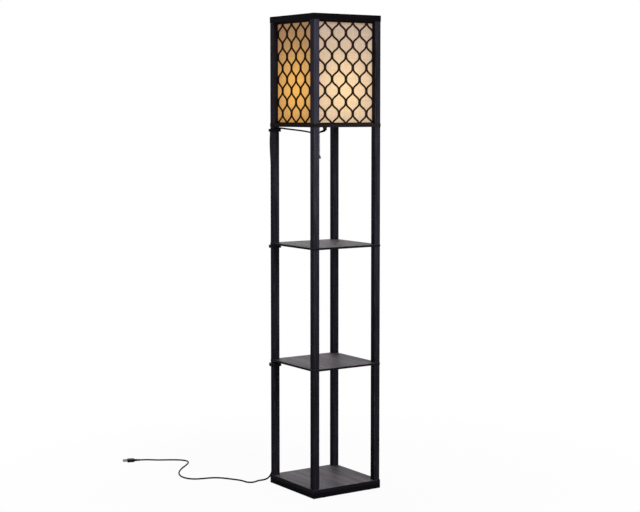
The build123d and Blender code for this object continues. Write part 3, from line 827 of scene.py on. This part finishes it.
def linen_sheet(side):
    """One sheet behind a panel, with the width and height it was cut to."""
    half_width = wide_half if side in ("front", "back") else narrow_half
    height = liner_high.z - sheet_bottom
    clear()
    bpy.ops.mesh.primitive_grid_add(
        x_subdivisions=44, y_subdivisions=66, size=1,
        location=(0, lattice_high.y + SHEET_GAP, sheet_middle),
        rotation=(math.pi / 2, 0, 0),
    )
    bpy.context.object.scale = (2 * half_width, height, 1)
    sheet = settle("linen_" + side)
    for vertex in sheet.data.vertices:
        x, y, z = vertex.co
        share = (z - sheet_bottom) / height
        held = math.sin(math.pi * share) * math.cos(math.pi * x / half_width / 2)
        ripple = 1 + RIPPLE * math.sin(95 * x + 21 * z) * math.sin(33 * z)
        vertex.co.y = y + PUCKER * max(held, 0.0) * ripple
    apply_modifier(sheet, "SOLIDIFY", thickness=SHEET_THICKNESS, offset=-1.0)
    turn_to(side, sheet)
    seal(sheet)
    return sheet, 2 * half_width, height


for side in QUARTER_TURNS:
    sheet, width, height = linen_sheet(side)
    nodes = ["shade_liners"] if side == "front" else []
    finished(sheet, "tower", "liner_fabric", linens[side], *nodes)

# %% [markdown]
# ## The bulb
#
# A ball lamp with a screw cap. The glass is turned from a pear-shaped outline: a neck
# that swells into a ball and closes at the crown.

# %% Bulb glass
globe_low, globe_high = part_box("bulb_globe")
GLOBE_RADIUS = (globe_high.x - globe_low.x) / 2
globe_middle = globe_high.z - GLOBE_RADIUS
NECK_RADIUS = 0.0138
NECK_STRAIGHT = 0.003
NECK_STEPS = 5
NECK_FLARE = 0.65
NECK_TURN = math.radians(-40)
CROWN_TURN = math.radians(88)
BALL_STEPS = 14

glass_line = [(0.0126, globe_low.z), (NECK_RADIUS * 0.97, globe_low.z + 0.0012)]
neck_foot = globe_low.z + NECK_STRAIGHT
belly_radius = GLOBE_RADIUS * math.cos(NECK_TURN)
belly_height = globe_middle + GLOBE_RADIUS * math.sin(NECK_TURN)
for step in range(NECK_STEPS):
    share = step / NECK_STEPS
    ease = share * share * (3 - 2 * share)
    swell = (1 - NECK_FLARE) * share * share + NECK_FLARE * ease * share
    glass_line.append((
        NECK_RADIUS + (belly_radius - NECK_RADIUS) * swell,
        neck_foot + (belly_height - neck_foot) * share,
    ))
for step in range(BALL_STEPS + 1):
    turn = NECK_TURN + (CROWN_TURN - NECK_TURN) * step / BALL_STEPS
    glass_line.append((
        GLOBE_RADIUS * math.cos(turn),
        globe_middle + GLOBE_RADIUS * math.sin(turn),
    ))
bulb_glass = turned("bulb_glass", glass_line, sides=64)
finished(bulb_glass, "bulb", "bulb_glass", frosted_glass, "bulb_globe")

# %% [markdown]
# The cap's thread is rolled, with round crests and roots, and ends in an insulator and a
# contact button. A real thread climbs. This one is a stack of rings, which looks the same
# from a little way off and is turned in one go.

# %% Bulb cap
cap_low, cap_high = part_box("bulb_cap")
CAP_RADIUS = (cap_high.x - cap_low.x) / 2
THREAD_PITCH = 0.0036
THREAD_CREST = 0.0005
THREAD_STEPS = 8
THREAD_TURNS = 4.5
thread_foot = cap_low.z + 0.0050
cap_line = [
    (0.0026, cap_low.z), (0.0046, cap_low.z + 0.0006), (0.0050, cap_low.z + 0.0014),
    (0.0100, cap_low.z + 0.0030), (CAP_RADIUS - 0.0012, cap_low.z + 0.0042),
]
for step in range(int(THREAD_TURNS * THREAD_STEPS) + 1):
    wave = math.cos(2 * math.pi * step / THREAD_STEPS)
    cap_line.append((
        CAP_RADIUS - THREAD_CREST - THREAD_CREST * wave,
        thread_foot + THREAD_PITCH * step / THREAD_STEPS,
    ))
cap_line.append((CAP_RADIUS - 0.0008, cap_high.z - 0.0006))
cap_line.append((CAP_RADIUS - 0.0012, cap_high.z))
bulb_screw = turned("bulb_screw_cap", cap_line, sides=56)
finished(bulb_screw, "bulb", "cap_metal", aluminium, "bulb_cap")

# %% [markdown]
# ## The lamp holder
#
# The holder is a spun metal cup with a plain sleeve above it, held to the cross bar by a
# nut. The thread that takes the bulb is a pressed brass sleeve. Little of it is seen, and
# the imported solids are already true, so all that they need is paint and brass.

# %% Paint the cup, the sleeve and the nut
for node in ("socket_cap", "socket_shell", "locknut"):
    painted_metal.on(frame["nodes"][node])
brass.on(frame["nodes"]["screw_shell"])
print("paint on the holder, and brass inside it")

# %% [markdown]
# ## The pull chain
#
# The switch is worked by a bead chain: hollow beads on short wire links. One bead and its
# link are modelled and repeated by an Array. The chain is in two lengths, because the
# lower one swings where it leaves the switch.

# %% Bead chain
BEAD_RADIUS = 0.0012
BEAD_PITCH = 0.0034
LINK_RADIUS = 0.00035
chain_x = sum(corner.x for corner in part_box("pull_chain")) / 2


def bead_chain(name, bottom, top):
    """Beads and links that just fill the height between these two levels."""
    clear()
    count = round((top - bottom) / BEAD_PITCH)
    pitch = (top - bottom - 2 * BEAD_RADIUS) / (count - 1)
    bpy.ops.mesh.primitive_uv_sphere_add(
        segments=12, ring_count=8, radius=BEAD_RADIUS,
        location=(chain_x, 0, bottom + BEAD_RADIUS))
    bead = settle(name + "_bead")
    bpy.ops.mesh.primitive_cylinder_add(
        vertices=6, radius=LINK_RADIUS, depth=pitch - 1.8 * BEAD_RADIUS,
        location=(chain_x, 0, bottom + BEAD_RADIUS + pitch / 2))
    link = settle(name + "_link")
    chain = join(name, bead, link)
    repeat(chain, count, (0, 0, pitch))
    # the last bead needs no link above it
    pick_faces(chain, lambda centre, normal: centre.z > top - 0.00001)
    bpy.ops.mesh.select_linked()
    bpy.ops.mesh.delete(type="FACE")
    bpy.ops.object.mode_set(mode="OBJECT")
    return seal(chain, 60.0)


lower_low, lower_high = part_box("pull_chain")
lower_chain = bead_chain("bead_chain", lower_low.z, lower_high.z)
finished(lower_chain, "chain_hanging", "chain_metal", black_chain, "pull_chain")
upper_low, upper_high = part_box("pull_chain_top")
upper_chain = bead_chain("bead_chain_top", upper_low.z, upper_high.z)
finished(upper_chain, "chain_top", "chain_metal", black_chain, "pull_chain_top")

# %% [markdown]
# A small turned bell hangs at the end, to hold. It is waisted at its top, flared at its
# rim and a little hollow below.

# %% Bell
bell_low, bell_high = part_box("chain_bell")
BELL_RADIUS = (bell_high.x - bell_low.x) / 2
bell_height = bell_high.z - bell_low.z
BELL_OUTLINE = (  # shares of its radius and of its height
    (0.30, 0.10), (0.66, 0.05), (0.76, 0.00), (0.92, 0.01), (1.00, 0.06),
    (1.00, 0.12), (0.93, 0.20), (0.86, 0.42), (0.76, 0.62), (0.60, 0.76),
    (0.42, 0.84), (0.34, 0.88), (0.38, 0.93), (0.34, 0.97), (0.22, 1.00),
)
bell_line = [
    (BELL_RADIUS * out, bell_low.z + bell_height * up) for out, up in BELL_OUTLINE]
bell = turned("pull_bell", bell_line, axis=(chain_x, 0.0), sides=40)
finished(bell, "chain_hanging", "chain_metal", black_chain, "chain_bell")

# %% [markdown]
# ## The gland
#
# Under the cross bar a screwed collar closes the hollow nipple, and a tapered nose of
# soft plastic keeps the cord from kinking. The nose has rings moulded round it, so that
# it bends with the cord.

# %% Cord gland
CORD_START = Vector(CORD_POINTS[0])
NOSE_LENGTH = 0.020
NOSE_ROOT = 0.0045
NOSE_TIP = 0.0030
NOSE_RINGS = 5
nose_aim = (Vector(CORD_POINTS[1]) - CORD_START).normalized()
gland_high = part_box("cord_gland")[1]
COLLAR_RADIUS = 0.0065
COLLAR_HEIGHT = 0.007
COLLAR_OUTLINE = (  # how far inside its radius, and how far above its foot
    (0.0022, 0.0000), (0.0006, 0.0000), (0.0000, 0.0008), (0.0000, 0.0022),
    (0.0004, 0.0026), (0.0004, 0.0032), (0.0000, 0.0036), (0.0000, 0.0064),
    (0.0006, 0.0070), (0.0013, 0.0070), (0.0013, 0.0048), (0.0045, 0.0048),
)
RING_SLOPE = 0.0004


def moulded_ring(radius, foot, land, depth, gap):
    """One ring of a strain relief, and the groove after it."""
    groove = foot + land + RING_SLOPE
    return [
        (radius, foot), (radius, foot + land),
        (radius - depth, groove), (radius - depth, groove + gap),
    ]


collar_foot = gland_high.z - COLLAR_HEIGHT
collar_line = [
    (COLLAR_RADIUS - inside, collar_foot + up) for inside, up in COLLAR_OUTLINE]
collar = turned("gland_collar", collar_line, sides=40)
nose_line = [(NOSE_ROOT * 0.8, 0.0)]
for ring in range(NOSE_RINGS):
    foot = NOSE_LENGTH * (0.25 + 0.70 * ring / NOSE_RINGS)
    radius = NOSE_ROOT + (NOSE_TIP - NOSE_ROOT) * foot / NOSE_LENGTH
    nose_line += moulded_ring(radius, foot, land=0.0013, depth=0.0005, gap=0.0007)
nose_line += [(NOSE_TIP, NOSE_LENGTH * 0.96), (NOSE_TIP - 0.0004, NOSE_LENGTH)]
nose = turned("gland_nose", nose_line, sides=32)
lay_along(nose, CORD_START - nose_aim * NOSE_LENGTH, nose_aim)
gland = join("gland", collar, nose)
finished(gland, "tower", "black_plastic", black_plastic, "cord_gland")

# %% [markdown]
# ## The plug
#
# A flat moulded plug lies on the floor. It is modelled along Z from the cord's end, then
# laid down. First comes its strain relief, a row of rings that narrows towards the cord.

# %% Strain relief
CORD_END = Vector(CORD_POINTS[-1])
plug_aim = (CORD_END - Vector(CORD_POINTS[-2])).normalized()
plug_across = plug_aim.cross(Vector((0, 0, 1)))
RELIEF = 0.020
RELIEF_RINGS = 5
RELIEF_RADIUS = 0.0034
RELIEF_WIDENING = 0.0012

relief_line = [(0.0026, 0.0), (RELIEF_RADIUS, 0.0006)]
for ring in range(RELIEF_RINGS):
    foot = 0.0014 + (RELIEF - 0.003) * ring / RELIEF_RINGS
    radius = RELIEF_RADIUS + RELIEF_WIDENING * foot / RELIEF
    relief_line += moulded_ring(radius, foot, land=0.0016, depth=0.0007, gap=0.0010)
relief_line += [(0.0047, RELIEF - 0.0014), (0.0049, RELIEF + 0.0010)]
relief = turned("plug_relief", relief_line, sides=32)
print(RELIEF_RINGS, "rings on the strain relief")

# %% [markdown]
# The plug's body is a box with rounded edges, waisted where the fingers hold it, and
# narrower at the shoulder where the strain relief begins.

# %% Plug body
BODY_LENGTH = 0.026
BODY_WIDTH = 0.022
BODY_THICKNESS = 0.011
WAIST = 0.16
SHOULDER = 0.30

plug = box_at(
    "plug_shell",
    (-BODY_WIDTH / 2, -BODY_THICKNESS / 2, RELIEF),
    (BODY_WIDTH / 2, BODY_THICKNESS / 2, RELIEF + BODY_LENGTH),
)
take(plug)
bpy.ops.object.mode_set(mode="EDIT")
bpy.ops.mesh.select_all(action="SELECT")
bpy.ops.mesh.subdivide(number_cuts=7)
bpy.ops.object.mode_set(mode="OBJECT")
for vertex in plug.data.vertices:
    share = (vertex.co.z - RELIEF) / BODY_LENGTH
    waist = 1 - WAIST * math.sin(math.pi * min(share * 1.15, 1.0)) ** 2
    shoulder = 1 - SHOULDER * max(0.0, 1 - share * 4) ** 2
    vertex.co.x *= waist * shoulder
    vertex.co.y *= shoulder
apply_modifier(
    plug, "BEVEL", width=0.0022, segments=4,
    limit_method="ANGLE", angle_limit=math.radians(50))
seal(plug)
print(len(plug.data.polygons), "faces on the plug's body")

# %% [markdown]
# Four low ribs on each broad face stop the fingers from slipping. Then all is one piece.

# %% Grip ribs
GRIP_HALF = 0.0062
GRIP_FOOT = 0.008
GRIP_PITCH = 0.0028
GRIP_WIDTH = 0.0012
GRIP_RISE = 0.0003

grips = []
for face in (-1, 1):
    y = face * (BODY_THICKNESS / 2 - GRIP_RISE)
    for row in range(4):
        z = RELIEF + GRIP_FOOT + row * GRIP_PITCH
        grips.append(box_at(
            f"grip_{face}_{row}",
            (-GRIP_HALF, y - GRIP_RISE, z),
            (GRIP_HALF, y + GRIP_RISE, z + GRIP_WIDTH),
        ))
for grip in grips:
    apply_modifier(grip, "BEVEL", width=0.00025, segments=2)
plug = join("plug", plug, relief, *grips)
lay_along(plug, CORD_END, plug_aim, plug_across)
finished(plug, "tower", "black_plastic", black_plastic, "plug_body")
nickel.on(frame["nodes"]["plug_blades"])

# %% [markdown]
# The cord itself, from the gland to the plug, gets its rubber jacket and rides with the
# tower, and the imported runs of cord are hidden.

jacket.on(mains_cord)
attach(mains_cord, "tower")
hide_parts("cord_run", "cord_lead")

# %% [markdown]
# ## Finishes on the parts that stay
#
# Posts, rails, the plinth and the small fittings already have their true shape in the
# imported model, so they only need a material. Rails take the lacquer whose grain runs
# their own way.

# %% Lay the finishes
for name, node in frame["nodes"].items():
    if "post_" in name:
        charcoal_posts.on(node)
for sides, soot, jet in (
    (("front", "back"), soot_x, jet_x),
    (("left", "right"), soot_y, jet_y),
):
    for side in sides:
        soot.on(frame["nodes"]["lamp_rail_" + side])
        jet.on(frame["nodes"]["base_skirt_" + side], frame["nodes"]["top_rail_" + side])
for finish, *names in (
    (soot_x, "cross_bar"),
    (felt, "foot_pads"),
    (beech, "top_dowels"),
    (phenolic, "switch_body"),
    (black_plastic, "cord_clips"),
    (zinc, "base_bolts", "shelf_studs", "shade_studs", "cross_bar_screws", "nipple"),
):
    finish.on(*(frame["nodes"][name] for name in names))
print("every node has its finish")

# %% [markdown]
# ## Floor and background
#
# The lamp stands on a plain pale floor. Floor and background are white because of their
# own colour: rays from the camera, and reflections, see white, while the object is lit by
# a plain level of light. Close to the lamp a little of the floor's own shade shows.

# %% Floor and world
FLOOR_SIZE = 30.0
FLOOR_PAINT = {"Base Color": (0.86, 0.86, 0.86, 1), "Roughness": 0.9}
NEAR_SHADE = 0.06
WHITE = (1, 1, 1, 1)
AMBIENT = (0.08, 0.08, 0.0835, 1)


class Studio(Finish):
    """The world, whose nodes are made in the same way."""

    def __init__(self, colour):
        world = bpy.data.worlds.new("studio")
        bpy.context.scene.world = world
        world.use_nodes = True
        self.tree = world.node_tree
        self.shader = self.tree.nodes["Background"]
        self.show(Color=colour)


def show_white(finish, output, white, share):
    """Mix white into the plain shader by this share, and show that."""
    plain = Field(finish, finish.shader.outputs[0])
    mixed = finish.node("MixShader", {}, {0: share, 1: plain, 2: white})
    finish.feed(finish.tree.nodes[output].inputs["Surface"], mixed)


clear()
bpy.ops.mesh.primitive_plane_add(size=FLOOR_SIZE)
floor = settle("floor")
pale = Finish("floor", FLOOR_PAINT)
x, y, z = pale.axes()
far_out = (x * x + y * y).rise(0.05, 2.0)
camera_ray = pale.node("LightPath", {}, {}, "Is Camera Ray")
glow = pale.node("Emission", {}, {"Color": WHITE, "Strength": 1.0})
whiteness = camera_ray * (1 - NEAR_SHADE + far_out * NEAR_SHADE)
show_white(pale, "Material Output", glow, whiteness)
pale.on(floor)

studio = Studio(AMBIENT)
camera_ray, glossy_ray, passing_ray = (
    studio.node("LightPath", {}, {}, f"Is {kind} Ray")
    for kind in ("Camera", "Glossy", "Transmission"))
backdrop = studio.node("Background", {}, {"Color": WHITE})
any_ray = camera_ray.larger(glossy_ray).larger(passing_ray)
show_white(studio, "World Output", backdrop, any_ray)
print("a floor", FLOOR_SIZE, "m wide, in a white studio")

# %% [markdown]
# ## Two suns
#
# A sun with a wide angle is a soft light that is equally strong everywhere, like a large
# lamp far away. The key stands almost straight in front and about 30 degrees up, so the
# front faces are lit and the left faces fall dark, as in the photograph. A weak sun
# behind keeps the back readable.

# %% Key and back light
def sun(name, direction, level, spread):
    """A soft sun that shines from this direction; level 1 lights a facing wall fully."""
    data = bpy.data.lights.new(name, "SUN")
    data.energy = level * math.pi
    data.angle = math.radians(spread)
    lamp = bpy.data.objects.new(name, data)
    lamp.rotation_euler = Vector(direction).to_track_quat("Z", "Y").to_euler()
    bpy.context.scene.collection.objects.link(lamp)


sun("key", (0.08, -0.86, 0.50), 0.95, 35)
sun("back", (0.15, 0.85, 0.45), 0.40, 50)
bpy.context.scene.view_settings.view_transform = "Standard"
print("two suns")
